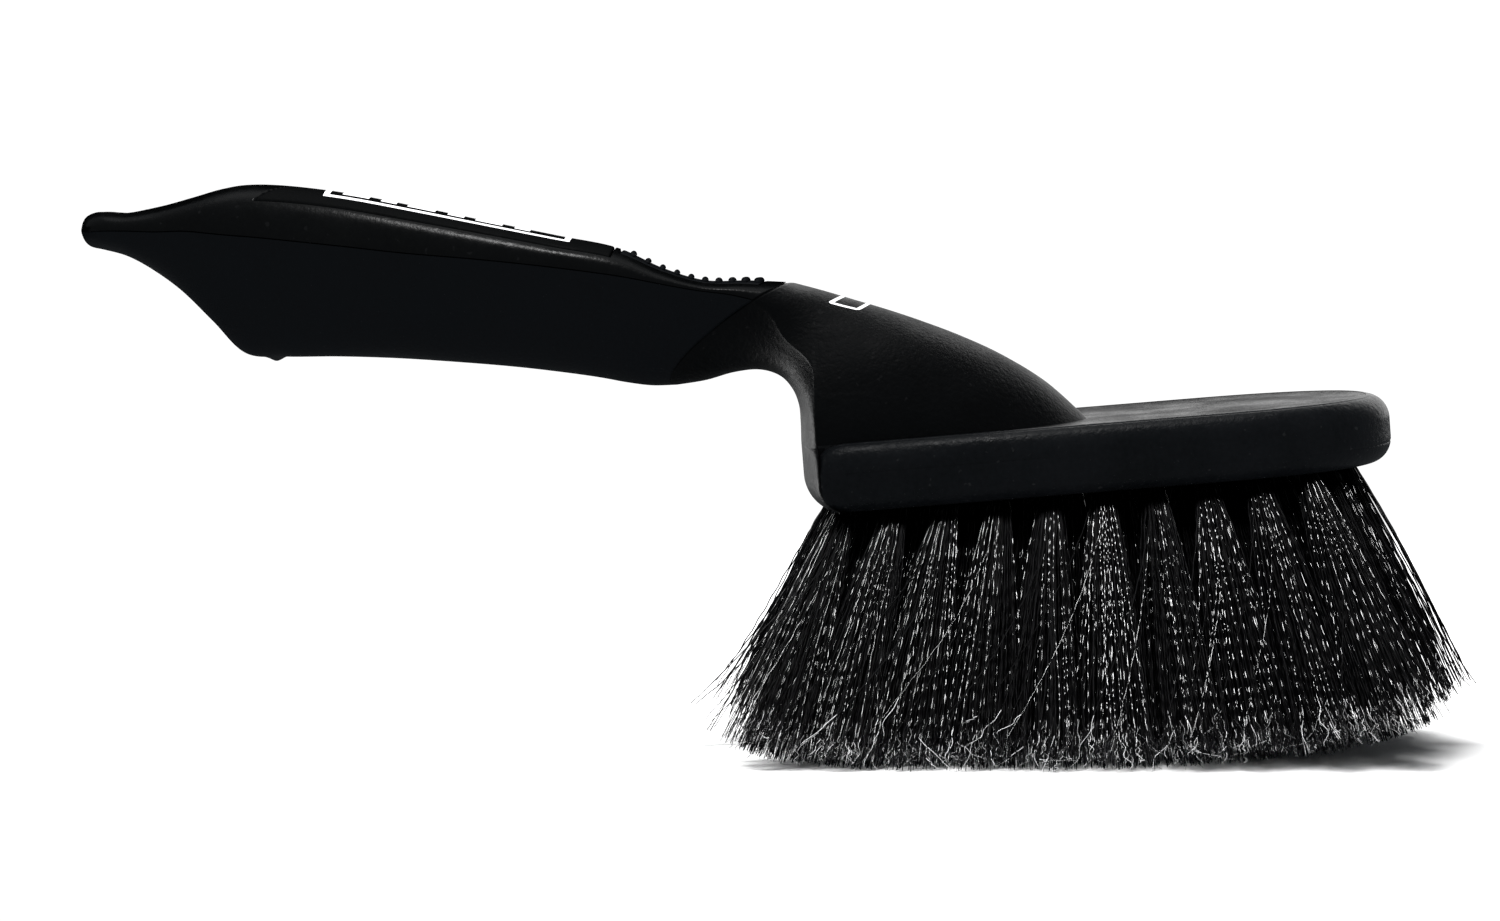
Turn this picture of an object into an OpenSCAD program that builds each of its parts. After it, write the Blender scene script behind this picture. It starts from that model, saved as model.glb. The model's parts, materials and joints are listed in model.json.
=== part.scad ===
// Short-handled wheel brush: a moulded body with a grip in two shells, and a drilled block
// that carries five rows of staple-set tufts inside a rubber bumper.
// +X runs from the tail of the handle to the head, +Z is up, and the tuft tips stand on Z = 0.

/* [Head] */
// Free length of the bristles, from the face of the block to the floor
bristle_len = 58; // [50:1:70]
// Height of the block, which the bumper wraps
block_t = 13.8; // [13:0.2:18]
// Width of the head over the bumper
head_w = 64; // [62:1:70]
// Length of the head over the bumper
head_len = 127; // [124:1:134]
// Thickness of the bumper round the block
bumper_t = 4.6; // [4:0.2:6]

/* [Tufts] */
// Diameter of the drilled tuft holes
hole_d = 4.8; // [4.4:0.1:5.2]
// Depth of the drilled tuft holes
hole_depth = 9.5; // [8:0.5:11]
// Distance between rows
row_pitch = 10.2; // [10:0.1:10.6]
// Distance between tufts in a row
tuft_pitch = 10.8; // [10.4:0.1:11]
// Diameter of a tuft where it is trimmed
tip_d = 12; // [8:0.5:13]
// Lean of the rearmost tufts, in degrees
flare_rear = 24; // [10:1:26]
// Lean of the foremost tufts, in degrees
flare_front = 19; // [10:1:24]
// Sideways lean of the outer rows, in degrees
flare_side = 14; // [6:1:18]

/* [Grip] */
// Thickness of the grip shells over the spine
shell_t = 2.8; // [2:0.1:3.2]
// Thickness of the inlay and of the thumb rest
pad_t = 0.8; // [0.6:0.1:1]
// Half of the width of the inlay
inlay_half = 12; // [10:0.5:12.5]
// Half of the width of the thumb rest
thumb_half = 8.5; // [7:0.5:9]
// Number of ribs on the thumb rest
rib_count = 10; // [6:1:11]
// Diameter of the hole that hangs the brush up
hang_d = 9; // [6:0.5:9]

/* [Hidden] */

grip_black = [0.05, 0.05, 0.055];
gloss_black = [0.09, 0.09, 0.10];
nylon_black = [0.13, 0.13, 0.14];
steel = [0.75, 0.75, 0.78];

head_x = 3.7;                    // rear end of the head
face_z = bristle_len;            // drilled face of the block
top_z = face_z + block_t;        // top of the block
joint_gap = 0.05;                // play between moulded pieces that touch
spine_gap = 0.2;                 // play between the spine and the shells over it
hollow_t = bumper_t + joint_gap; // from the bumper's outside to the block's edge

// ---------------------------------------------------------------------------
// Stations of the body. Each is a chord from the underside to the top, in a plane that stands
// across the body: [under_x, under_z, top_x, top_z, half_width, shoulder, taper, under_n, top_n,
// bow]. x is from the rear of the head, z from the face of the block, and shoulder is the share
// of the chord where the section is widest. under_n and top_n are superellipse exponents, and
// bow is how far the middle of the chord bends back.
// ---------------------------------------------------------------------------
handle_stations = [
    [-148.6, 70.0, -148.8, 72.4, 5.5, 0.45, 0.00, 2.0, 2.0, 0],
    [-147.5, 67.9, -147.6, 74.5, 8.8, 0.45, 0.00, 2.2, 2.2, 0],
    [-144.3, 66.8, -144.2, 75.2, 11.4, 0.50, 0.05, 2.4, 2.4, 0],
    [-139.3, 64.9, -138.4, 74.6, 12.8, 0.59, 0.08, 2.6, 2.4, 0],
    [-134.3, 61.6, -131.6, 75.3, 13.6, 0.61, 0.12, 2.8, 2.3, 0],
    [-128.6, 56.6, -124.8, 76.6, 14.3, 0.65, 0.16, 3.0, 2.3, 0],
    [-122.6, 49.6, -118.4, 77.9, 14.9, 0.67, 0.20, 3.2, 2.3, 0],
    [-116.4, 42.4, -112.4, 78.3, 15.3, 0.70, 0.22, 3.4, 2.3, 0],
    [-108.0, 41.0, -103.8, 77.3, 15.6, 0.69, 0.22, 3.6, 2.3, 0],
    [-96.5, 40.1, -91.5, 74.7, 15.7, 0.685, 0.22, 3.6, 2.3, 0],
    [-84.0, 38.7, -77.5, 70.8, 15.6, 0.70, 0.22, 3.6, 2.3, 0],
    [-71.0, 36.8, -62.5, 66.4, 15.3, 0.74, 0.22, 3.6, 2.3, 0],
    [-59.0, 34.8, -48.0, 62.2, 14.9, 0.775, 0.22, 3.4, 2.3, 0],
    [-49.0, 32.8, -35.5, 58.6, 14.5, 0.80, 0.24, 3.2, 2.4, 0],
    [-41.5, 31.1, -26.0, 53.4, 14.0, 0.88, 0.27, 3.0, 2.5, 0],
    [-35.5, 29.5, -17.0, 50.0, 13.5, 0.92, 0.32, 2.8, 2.5, 1],
    [-30.0, 28.4, -7.5, 49.2, 13.2, 0.89, 0.38, 2.6, 2.5, 3.5],
    [-24.5, 28.1, 1.5, 48.1, 13.2, 0.86, 0.42, 2.5, 2.4, 7]];
neck_stations = [
    [-24.5, 28.1, 1.5, 48.1, 13.2, 0.86, 0.42, 2.5, 2.4, 7],
    [-18.5, 28.6, 8.0, 45.8, 13.5, 0.75, 0.45, 2.4, 2.4, 5],
    [-12.5, 29.8, 14.5, 43.3, 15.0, 0.50, 0.45, 2.4, 2.3, 2.5],
    [-7.0, 30.0, 21.5, 40.6, 18.0, 0.34, 0.35, 2.4, 2.2, 1],
    [-2.8, 28.4, 29.0, 37.4, 21.5, 0.21, 0.20, 2.4, 2.1, 0],
    [-0.3, 25.4, 37.0, 33.6, 24.0, 0.11, 0.08, 2.4, 2.1, 0],
    [0.9, 21.6, 45.5, 28.8, 25.8, 0.06, 0.02, 2.3, 2.0, 0],
    [1.0, 17.8, 54.5, 22.2, 26.8, 0.05, 0.00, 2.2, 2.0, 0],
    [0.8, block_t, 62.5, block_t, 27.2, 0.045, 0.00, 2.2, 2.0, 0]];
spine_from = 5;      // first handle station that the spine of the core reaches
inlay_from = 7.4;    // stations between which the inlay lies
inlay_to = 13;
thumb_from = 13.15;  // stations between which the thumb rest lies
thumb_to = 16.5;
seam = len(handle_stations) - 1;
seam_gap = 0.03;     // part of a station that the shells stop short of the neck
shoulder_gap = 0.1;  // between the two shells along the shoulder

function mix(a, b, f) = a + (b - a) * f;
// Smooth curve through a list of vectors, at index u.
function catmull(a, b, c, d, f) =
    0.5 * (2 * b + (c - a) * f + (2 * a - 5 * b + 4 * c - d) * f * f + (3 * b - a - 3 * c + d) * f * f * f);
function clamp_index(list, i) = list[max(0, min(len(list) - 1, i))];
function station(list, u) = let (i = min(floor(u), len(list) - 2)) catmull(
    clamp_index(list, i - 1), list[i], list[i + 1], clamp_index(list, i + 2), u - i);

// Point of the section at angle a: [y, share of the chord]. 0 and 180 are the shoulders.
function section_point(s, a) = let (
    n = sin(a) >= 0 ? s[8] : s[7],
    across = sign(cos(a)) * pow(abs(cos(a)), 2 / n),
    along = pow(abs(sin(a)), 2 / n))
    sin(a) >= 0 ? [s[4] * across, mix(s[5], 1, along)]
                : [s[4] * across * (1 - s[6] * along), s[5] * (1 - along)];
function chord_length(s) = norm([s[2] - s[0], s[3] - s[1]]);
// The point moved towards the section's centre by about inset, then placed in the part's frame.
function placed(s, p, inset = 0) = let (
    in_y = 1 - inset / s[4],
    in_t = 1 - 2 * inset / chord_length(s),
    y = p[0] * in_y,
    t = 0.5 + (p[1] - 0.5) * in_t)
    [head_x + mix(s[0], s[2], t) - s[9] * 2 * sqrt(max(0, t * (1 - t))), y, face_z + mix(s[1], s[3], t)];

// Closed solid through rings that all have the same number of points, each running from +Y
// over the top to -Y and back underneath.
module loft(rings) {
    n = len(rings[0]);
    last = (len(rings) - 1) * n;
    cap = cap_faces(n);
    polyhedron(
        points = [for (r = rings) each r],
        faces = [
            each cap,
            for (i = [0 : len(rings) - 2]) for (j = [0 : n - 1])
                let (a = i * n + j, b = i * n + (j + 1) % n) each [[a, a + n, b], [b, a + n, b + n]],
            for (f = cap) [last + f[2], last + f[1], last + f[0]]],
        convexity = 8);
}
// Triangles between the two halves of a ring of n points, which suit a ring that doubles back.
function cap_faces(n) = concat(
    [for (j = [0 : ceil(n / 2) - 2]) let (far = n - 1 - j) [j, j + 1, far]],
    [for (j = [0 : floor(n / 2) - 2]) let (far = n - 1 - j) [j + 1, far - 1, far]]);

function steps(from, to, step) = let (n = max(1, round((to - from) / step)))
    [for (i = [0 : n]) mix(from, to, i / n)];
under = [for (a = [-180 : 15 : 0]) a];
around = concat([for (a = [0 : 12 : 180]) a], [for (k = [1 : len(under) - 2]) under[k]]);
// Angles over the top, with corners at the edge of a pocket that is half wide on each side.
function edge_angle(s, y, most) = acos(pow(min(most, y / s[4]), s[8] / 2));
function top_angles(s, half) = let (
    rim = edge_angle(s, half + 0.3, 0.94),
    floor_edge = edge_angle(s, half + 0.05, 0.92),
    quarter = concat([0, rim / 3, 2 * rim / 3, rim], steps(floor_edge, 90, (90 - floor_edge) / 4)))
    concat(quarter, [for (k = [len(quarter) - 2 : -1 : 0]) 180 - quarter[k]]);
grip_us = steps(0, seam, 0.5);

// ---------------------------------------------------------------------------
// Body and grip
// ---------------------------------------------------------------------------
module body_core() {
    spine = [for (u = grip_us) if (u > spine_from - 0.1) let (s = station(handle_stations, u))
        [for (a = around) placed(s, section_point(s, a), shell_t + spine_gap)]];
    neck = [for (u = steps(0, len(neck_stations) - 1, 0.5)) let (s = station(neck_stations, u))
        [for (a = around) placed(s, section_point(s, a))]];
    color(gloss_black) {
        loft(concat(spine, neck));
        heel_wall();
    }
}

// Wall of the core that closes the rear end of the head, rounded under its lower edge. Its middle
// reaches the block, and its ends stop at the bumper.
heel_back = 0.8;
heel_wall_t = 5.5;
heel_end_t = 3.6;
heel_round = 6;
module rear_profile(front) translate([head_x, 0, face_z]) rotate([90, 0, 0])
    linear_extrude(2 * head_w, center = true) polygon(concat(
        [for (a = [0 : 15 : 90]) [heel_back + heel_round * (1 - cos(a)), heel_round * (1 - sin(a))]],
        [[front, 0], [front, block_t], [heel_back, block_t]]));
module heel_wall() {
    half = head_w / 2 - 0.8;
    inner = head_w / 2 - hollow_t;
    for (w = [[inner, heel_wall_t], [half, heel_end_t]]) intersection() {
        rear_profile(heel_wall_t);
        translate([head_x, 0, face_z]) linear_extrude(block_t)
            polygon([[0, -w[0] + 2], [1.4, -w[0]], [w[1], -w[0]], [w[1], w[0]], [1.4, w[0]], [0, w[0] - 2]]);
    }
}

// Depth and half width of the pocket for the inlay or the thumb rest at station u.
function pocket_at(u) = u > inlay_from - 0.02 && u < thumb_to + 0.02 ? pad_t + joint_gap : 0;
function pocket_half(u) = u < (inlay_to + thumb_from) / 2 ? inlay_half : thumb_half;
upper_us = concat([for (u = grip_us) if (u < inlay_from - 0.1) u], [inlay_from - 0.04, inlay_from],
    [for (u = grip_us) if (u > inlay_from + 0.05 && u < inlay_to - 0.05) u],
    [inlay_to + 0.02, thumb_from - 0.02],
    [for (u = grip_us) if (u > thumb_from + 0.05 && u < thumb_to - 0.05) u],
    [thumb_to, thumb_to + 0.04, seam - 0.2, seam - seam_gap]);
lower_us = concat([for (u = grip_us) if (u < seam - 0.1) u], [seam - seam_gap]);

// How far the inside of the shells has closed onto the joint between them: solid in the tail.
function closed_at(u) = u < spine_from - 0.3 ? 1 : 0;
// Inner edge of a shell: the outer curve moved in, or the flat joint line where it is solid.
function inner_point(s, a, u) = let (p = section_point(s, a)) closed_at(u) == 1
    ? placed(s, [p[0] * 0.98, s[5] + (sin(a) >= 0 ? joint_gap : -joint_gap) / chord_length(s)], 0)
    : placed(s, [p[0], sin(a) == 0 ? s[5] : p[1]], shell_t);

// Hole through the flat tail: x and z of a point on its middle line, and how far it leans forward.
hang_at = [-141, 70];
hang_tilt = 7;
module hang_hole() translate([head_x + hang_at[0], 0, face_z + hang_at[1]])
    rotate([0, hang_tilt, 0]) cylinder(h = 30, d = hang_d, center = true, $fn = 48);

module grip_upper_shell() color(gloss_black) difference() {
    loft([for (u = upper_us) let (
        s = station(handle_stations, u),
        angles = top_angles(s, pocket_half(u)))
        concat(
            [for (a = angles) let (p = section_point(s, a), deep = abs(p[0]) < pocket_half(u) + 0.1)
                placed(s, [p[0], p[1] - (deep ? pocket_at(u) / chord_length(s) : 0)])],
            [for (k = [len(angles) - 1 : -1 : 0]) inner_point(s, angles[k], u)])]);
    hang_hole();
}

module grip_lower_shell() color(grip_black) difference() {
    loft([for (u = lower_us) let (full = station(handle_stations, u),
        s = [for (k = [0 : 9]) full[k] - (k == 5 ? shoulder_gap / chord_length(full) : 0)]) concat(
        [for (k = [len(under) - 1 : -1 : 0]) inner_point(s, under[k], u)],
        [for (a = under) placed(s, section_point(s, a))])]);
    hang_hole();
}

// Thin pad that fills a pocket of the upper shell from station u0 to u1.
module top_pad(u0, u1, pocket) {
    half = pocket - 0.1;
    inner_us = [for (u = grip_us) if (u > u0 + 0.1 && u < u1 - 0.1) u];
    loft([for (u = concat([u0], inner_us, [u1])) let (s = station(handle_stations, u)) concat(
        [for (k = [5 : -1 : -5]) placed(s, on_top(s, k / 5 * half, 0))],
        [for (k = [-5 : 5]) placed(s, on_top(s, k / 5 * half, pad_t - joint_gap))])]);
}
// Point on the top at sideways distance y, lowered by depth.
function on_top(s, y, depth) =
    [y, mix(s[5], 1, pow(1 - pow(abs(y) / s[4], s[8]), 1 / s[8])) - depth / chord_length(s)];

module label_inlay() color(gloss_black) top_pad(inlay_from + 0.02, inlay_to, inlay_half);

rib_d = 1.3;
rib_len = 13;
rib_lift = 0.15;   // from the top of the pad up to the middle of a rib
module thumb_rest() color(grip_black) {
    top_pad(thumb_from, thumb_to - 0.02, thumb_half);
    for (i = [0 : rib_count - 1]) {
        s = station(handle_stations, mix(thumb_from + 0.28, thumb_to - 0.3, i / (rib_count - 1)));
        translate([head_x + s[2], 0, face_z + s[3] + rib_lift]) rotate([90, 0, 0])
            cylinder(h = rib_len, d = rib_d, center = true, $fn = 24);
    }
}

// ---------------------------------------------------------------------------
// Head. Its plan has straight sides, a square rear end and a round nose.
// ---------------------------------------------------------------------------
nose_len = 38;   // length of the rounded front part of the plan
nose_n = 2.3;    // its superellipse exponent
// Half of the plan from the rear to the nose, inset by d from the outside of the bumper.
function half_plan(d, rear, n = 22) = let (
    half = head_w / 2 - d,
    front = head_len - d,
    straight = head_len - nose_len)
    concat([[rear, half]], [for (k = [0 : n]) let (a = 90 * k / n)
        [straight + (front - straight) * pow(sin(a), 2 / nose_n), half * pow(cos(a), 2 / nose_n)]]);
function mirrored(list) = [for (k = [len(list) - 2 : -1 : 0]) [list[k][0], -list[k][1]]];
function plan(d, rear) = let (h = half_plan(d, rear)) concat(h, mirrored(h));

module brush_block() color(gloss_black) difference() {
    translate([head_x, 0, face_z]) linear_extrude(block_t - joint_gap)
        polygon(plan(hollow_t, heel_wall_t + joint_gap));
    for (r = rows) for (i = [0 : r[1] - 1]) tuft_frame(r, i)
        translate([0, 0, -pivot_drop * 2]) cylinder(h = pivot_drop * 3 + hole_depth, d = hole_d, $fn = 24);
}

// The bumper is a rounded section that is swept round the plan: [inset, height] pairs.
bumper_round = 5.2;
rim_h = 0.6;
bumper_top = block_t + rim_h;
bumper_section = concat(
    [for (a = [0 : 15 : 90]) [bumper_t * (1 - sin(a)), bumper_round * (1 - cos(a))]],
    [for (a = [0 : 15 : 90]) [bumper_t * (1 - cos(a)), bumper_top - bumper_round * (1 - sin(a))]]);
module bumper() color(grip_black) difference() {
    loft([for (k = [0 : len(half_plan(0, 0)) * 2 - 2])
        [for (q = bumper_section) let (p = plan(q[0], heel_end_t + joint_gap)[k])
            [head_x + p[0], p[1], face_z + q[1]]]]);
    difference() {
        translate([head_x - 1, -head_w, face_z - 1])
            cube([heel_round + heel_back + 1, 2 * head_w, heel_round + 1]);
        rear_profile(2 * heel_round);
    }
}

// ---------------------------------------------------------------------------
// Tufts: rows of [y, count, x of the first], and the lean of each tuft.
// ---------------------------------------------------------------------------
first_x = 8.8;
rows = [
    [-2 * row_pitch, 10, first_x],
    [-row_pitch, 10, first_x + tuft_pitch / 2],
    [0, 11, first_x],
    [row_pitch, 10, first_x + tuft_pitch / 2],
    [2 * row_pitch, 10, first_x]];
last_x = first_x + 10 * tuft_pitch;
pivot_drop = 5;      // from the face of the block down to the line that a row bends about
root_out = 1.7;      // how far the fixed root of a tuft stands out of the block
tuft_play = 0.1;     // between a root and its hole

function tuft_x(row, i) = row[2] + i * tuft_pitch;
function lean_x(row, i) = mix(-flare_rear, flare_front, (tuft_x(row, i) - first_x) / (last_x - first_x));
function lean_y(row) = flare_side * row[0] / (2 * row_pitch);
// Frame of a tuft: its origin on the row's bending line, +Z along the tuft towards the block.
module tuft_frame(row, i) translate([head_x + tuft_x(row, i), row[0], face_z - pivot_drop])
    rotate([lean_y(row), -lean_x(row, i), 0]) children();

staple_w = 0.5;
staple_h = 1.8;
module tuft_root(row, i) tuft_frame(row, i) difference() {
    translate([0, 0, pivot_drop - root_out])
        cylinder(h = hole_depth + root_out - 0.4, d = hole_d - 2 * tuft_play, $fn = 24);
    translate([-(staple_w / 2 + joint_gap), -hole_d, pivot_drop + hole_depth - 0.4 - staple_h - joint_gap])
        cube([staple_w + 2 * joint_gap, 2 * hole_d, staple_h + 1]);
}
// Flat wire anchor that bites into both walls of the hole.
module staple(row, i) tuft_frame(row, i)
    translate([-staple_w / 2, -hole_d / 2 - 0.4, pivot_drop + hole_depth - 0.4 - staple_h])
        cube([staple_w, hole_d + 0.8, staple_h]);
// The free part of a tuft: a cone that a ball ends on the bending line, trimmed flat on the floor.
module free_tuft(row, i) {
    reach = bristle_len * 1.4;
    intersection() {
        tuft_frame(row, i) {
            sphere(d = hole_d, $fn = 32);
            translate([0, 0, -reach])
                cylinder(h = reach, d1 = hole_d + (tip_d - hole_d) * 1.4, d2 = hole_d, $fn = 32);
        }
        translate([-400, -400, 0]) cube([800, 800, bristle_len]);
    }
}

module staples(r) color(steel) for (i = [0 : rows[r][1] - 1]) staple(rows[r], i);
module tuft_roots(r) color(nylon_black) for (i = [0 : rows[r][1] - 1]) tuft_root(rows[r], i);
module tufts(r) color(nylon_black) for (i = [0 : rows[r][1] - 1]) free_tuft(rows[r], i);

body_core();
grip_upper_shell();
grip_lower_shell();
label_inlay();
thumb_rest();
brush_block();
bumper();
for (r = [0 : 4]) {
    staples(r);
    tuft_roots(r);
    tufts(r);
}
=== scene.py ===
"""Looks of the wheel brush: moulded skins, crimped bristles, a white studio and the camera."""
import bpy
import json
import math
import numpy as np
from mathutils import Matrix, Vector

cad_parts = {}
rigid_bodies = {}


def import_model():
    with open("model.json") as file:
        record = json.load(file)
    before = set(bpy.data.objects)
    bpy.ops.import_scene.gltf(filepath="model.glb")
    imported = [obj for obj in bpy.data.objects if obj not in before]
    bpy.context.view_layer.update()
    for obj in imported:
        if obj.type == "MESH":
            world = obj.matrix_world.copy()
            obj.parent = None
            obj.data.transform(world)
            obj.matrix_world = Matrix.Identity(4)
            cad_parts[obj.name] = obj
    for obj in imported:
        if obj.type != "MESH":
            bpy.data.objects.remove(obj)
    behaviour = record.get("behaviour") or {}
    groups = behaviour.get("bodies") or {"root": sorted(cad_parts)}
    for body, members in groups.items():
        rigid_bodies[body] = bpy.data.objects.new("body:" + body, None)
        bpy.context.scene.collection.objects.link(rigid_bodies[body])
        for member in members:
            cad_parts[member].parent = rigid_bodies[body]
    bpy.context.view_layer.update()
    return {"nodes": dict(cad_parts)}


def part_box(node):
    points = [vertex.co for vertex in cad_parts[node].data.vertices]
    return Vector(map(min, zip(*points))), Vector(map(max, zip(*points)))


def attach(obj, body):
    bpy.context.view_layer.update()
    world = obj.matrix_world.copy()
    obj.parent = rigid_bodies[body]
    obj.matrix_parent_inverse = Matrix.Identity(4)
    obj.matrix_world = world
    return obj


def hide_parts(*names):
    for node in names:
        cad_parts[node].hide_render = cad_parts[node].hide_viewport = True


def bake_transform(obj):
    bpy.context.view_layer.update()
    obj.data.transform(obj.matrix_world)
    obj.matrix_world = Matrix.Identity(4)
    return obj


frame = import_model()

# Shapes are worked out in millimetres from the rear of the head (x) and from the face of the block (z).
HEAD_LEN, HEAD_W, BLOCK_T, BUMPER_T = 127.0, 64.0, 13.8, 4.6
HEAD_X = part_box("bumper")[1].x * 1000 - HEAD_LEN
FACE_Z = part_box("brush_block")[0].z * 1000

# Columns of the station tables: ends of the chord, half width, share of the chord below the shoulder,
# taper of the flank, exponents of the lower and the upper curve, and how far the section bows rearwards.
UNDER_X, UNDER_Z, TOP_X, TOP_Z, HALF, SHOULDER, TAPER, UNDER_N, TOP_N, BOW = range(10)
HANDLE = np.array([
    [-148.6, 70.0, -148.8, 72.4, 5.5, 0.45, 0.00, 2.0, 2.0, 0],
    [-147.5, 67.9, -147.6, 74.5, 8.8, 0.45, 0.00, 2.2, 2.2, 0],
    [-144.3, 66.8, -144.2, 75.2, 11.4, 0.50, 0.05, 2.4, 2.4, 0],
    [-139.3, 64.9, -138.4, 74.6, 12.8, 0.59, 0.08, 2.6, 2.4, 0],
    [-134.3, 61.6, -131.6, 75.3, 13.6, 0.61, 0.12, 2.8, 2.3, 0],
    [-128.6, 56.6, -124.8, 76.6, 14.3, 0.65, 0.16, 3.0, 2.3, 0],
    [-122.6, 49.6, -118.4, 77.9, 14.9, 0.67, 0.20, 3.2, 2.3, 0],
    [-116.4, 42.4, -112.4, 78.3, 15.3, 0.70, 0.22, 3.4, 2.3, 0],
    [-108.0, 41.0, -103.8, 77.3, 15.6, 0.69, 0.22, 3.6, 2.3, 0],
    [-96.5, 40.1, -91.5, 74.7, 15.7, 0.685, 0.22, 3.6, 2.3, 0],
    [-84.0, 38.7, -77.5, 70.8, 15.6, 0.70, 0.22, 3.6, 2.3, 0],
    [-71.0, 36.8, -62.5, 66.4, 15.3, 0.74, 0.22, 3.6, 2.3, 0],
    [-59.0, 34.8, -48.0, 62.2, 14.9, 0.775, 0.22, 3.4, 2.3, 0],
    [-49.0, 32.8, -35.5, 58.6, 14.5, 0.80, 0.24, 3.2, 2.4, 0],
    [-41.5, 31.1, -26.0, 53.4, 14.0, 0.88, 0.27, 3.0, 2.5, 0],
    [-35.5, 29.5, -17.0, 50.0, 13.5, 0.92, 0.32, 2.8, 2.5, 1],
    [-30.0, 28.4, -7.5, 49.2, 13.2, 0.89, 0.38, 2.6, 2.5, 3.5],
    [-24.5, 28.1, 1.5, 48.1, 13.2, 0.86, 0.42, 2.5, 2.4, 7]])
NECK = np.array([
    [-24.5, 28.1, 1.5, 48.1, 13.2, 0.86, 0.42, 2.5, 2.4, 7],
    [-18.5, 28.6, 8.0, 45.8, 13.5, 0.75, 0.45, 2.4, 2.4, 5],
    [-12.5, 29.8, 14.5, 43.3, 15.0, 0.50, 0.45, 2.4, 2.3, 2.5],
    [-7.0, 30.0, 21.5, 40.6, 18.0, 0.34, 0.35, 2.4, 2.2, 1],
    [-2.8, 28.4, 29.0, 37.4, 21.5, 0.21, 0.20, 2.4, 2.1, 0],
    [-0.3, 25.4, 37.0, 33.6, 24.0, 0.11, 0.08, 2.4, 2.1, 0],
    [0.9, 21.6, 45.5, 28.8, 25.8, 0.06, 0.02, 2.3, 2.0, 0],
    [1.0, 17.8, 54.5, 22.2, 26.8, 0.05, 0.00, 2.2, 2.0, 0],
    [0.8, BLOCK_T, 62.5, BLOCK_T, 27.2, 0.045, 0.00, 2.2, 2.0, 0]])
SEAM = len(HANDLE) - 1        # station where the grip meets the neck
SEAM_GAP = 0.03               # gap there, in stations
SPINE_FROM = 4.9              # station where the spine starts and the shells become hollow
SHELL_T = 2.8
EDGE_WIDTH = 0.45             # how wide the edges along the shoulder line are eased

# pockets of the inlay and the thumb rest in the top of the grip
INLAY_HALF, THUMB_HALF = 12.0, 8.5
INLAY_REAR, INLAY_ARROW = -100.8, 9.4
POCKET, PAD_GAP = 0.85, 0.15
PAD_RIM, PAD_FALL = 0.6, 0.4
PRINT_TOP, PRINT_UNDER = 0.04, -0.1
RIBS, RIB_HALF, FIRST_RIB_X, LAST_RIB_X = 10, 7.0, -31.9, -5.0

HANG_X, HANG_Z, HANG_R, HANG_TILT = -141, 70, 4.5, 7

# plan and profile of the bumper
BUMPER_REAR, NOSE, PLAN_N = 3.65, 38.0, 2.3
STRAIGHT = HEAD_LEN - NOSE
BUMPER_ROUND, BUMPER_TOP = 5.2, BLOCK_T + 0.6

# sideways place, number of tufts and first x of each row
ROWS = [(-20.4, 10, 8.8), (-10.2, 10, 14.2), (0.0, 11, 8.8), (10.2, 10, 14.2), (20.4, 10, 8.8)]
STRANDS = {20.4: 150, 10.2: 105, 0.0: 95}        # strands in a tuft, by the row's distance from the middle
OUTER_Y, FIRST_X, TUFT_PITCH = 20.4, 8.8, 10.8
TUFT_SPAN = 10 * TUFT_PITCH
FLARE_REAR, FLARE_FRONT, FLARE_SIDE = 24, 19, 14
STRAND_LEN, ROOT = 56, 2.5    # usual free length of a strand, and its length inside the block
HOLE_R, SPREAD = 2.05, 8.6    # radius of a tuft at the block and at its tips
CRIMP = 3.2                   # length of one fine crimp
# The brush leans back on its rear bristles: in front of LEAN_X the tips are cut level, behind it they
# are bent up.
LEAN, LEAN_X = 0.083, 76.0


# ---------------------------------------------------------------- mesh helpers
def smoothstep(x):
    x = np.clip(x, 0, 1)
    return x * x * (3 - 2 * x)


def bell(x, width):
    return np.exp(-(x / width) ** 2)


def grid(rows, cols):
    """Quads between rows of points, whose last column joins the first."""
    i, j = np.meshgrid(np.arange(rows - 1), np.arange(cols), indexing="ij")
    a, b = (i * cols + j).ravel(), (i * cols + (j + 1) % cols).ravel()
    return np.stack([a, b, b + cols, a + cols], 1)


def loft(rings):
    """Closed solid through rings, as (points, faces). The last point of an odd ring is left out."""
    rings = np.asarray(rings, float)
    count, n = rings.shape[0], rings.shape[1] // 2 * 2
    j = np.arange(n // 2 - 1)
    strip = np.stack([j, j + 1, n - 2 - j, n - 1 - j], 1)
    return rings[:, :n].reshape(-1, 3), [grid(count, n), strip[:, ::-1], strip + (count - 1) * n]


def joined(parts):
    """Several (points, faces) as one."""
    points, faces, start = [], [], 0
    for p, fs in parts:
        points.append(p)
        faces += [f + start for f in fs]
        start += len(p)
    return np.concatenate(points), faces


def volume(points, faces):
    """Six times the volume, and less than 0 when the faces point inwards."""
    total = 0.0
    for f in faces:
        first = points[f[:, 0]]
        for k in range(1, f.shape[1] - 1):
            normals = np.cross(points[f[:, k]], points[f[:, k + 1]])
            total += np.einsum("ij,ij->i", first, normals).sum()
    return total


def added(name, data):
    """New object in the scene."""
    obj = bpy.data.objects.new(name, data)
    bpy.context.scene.collection.objects.link(obj)
    return obj


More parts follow.
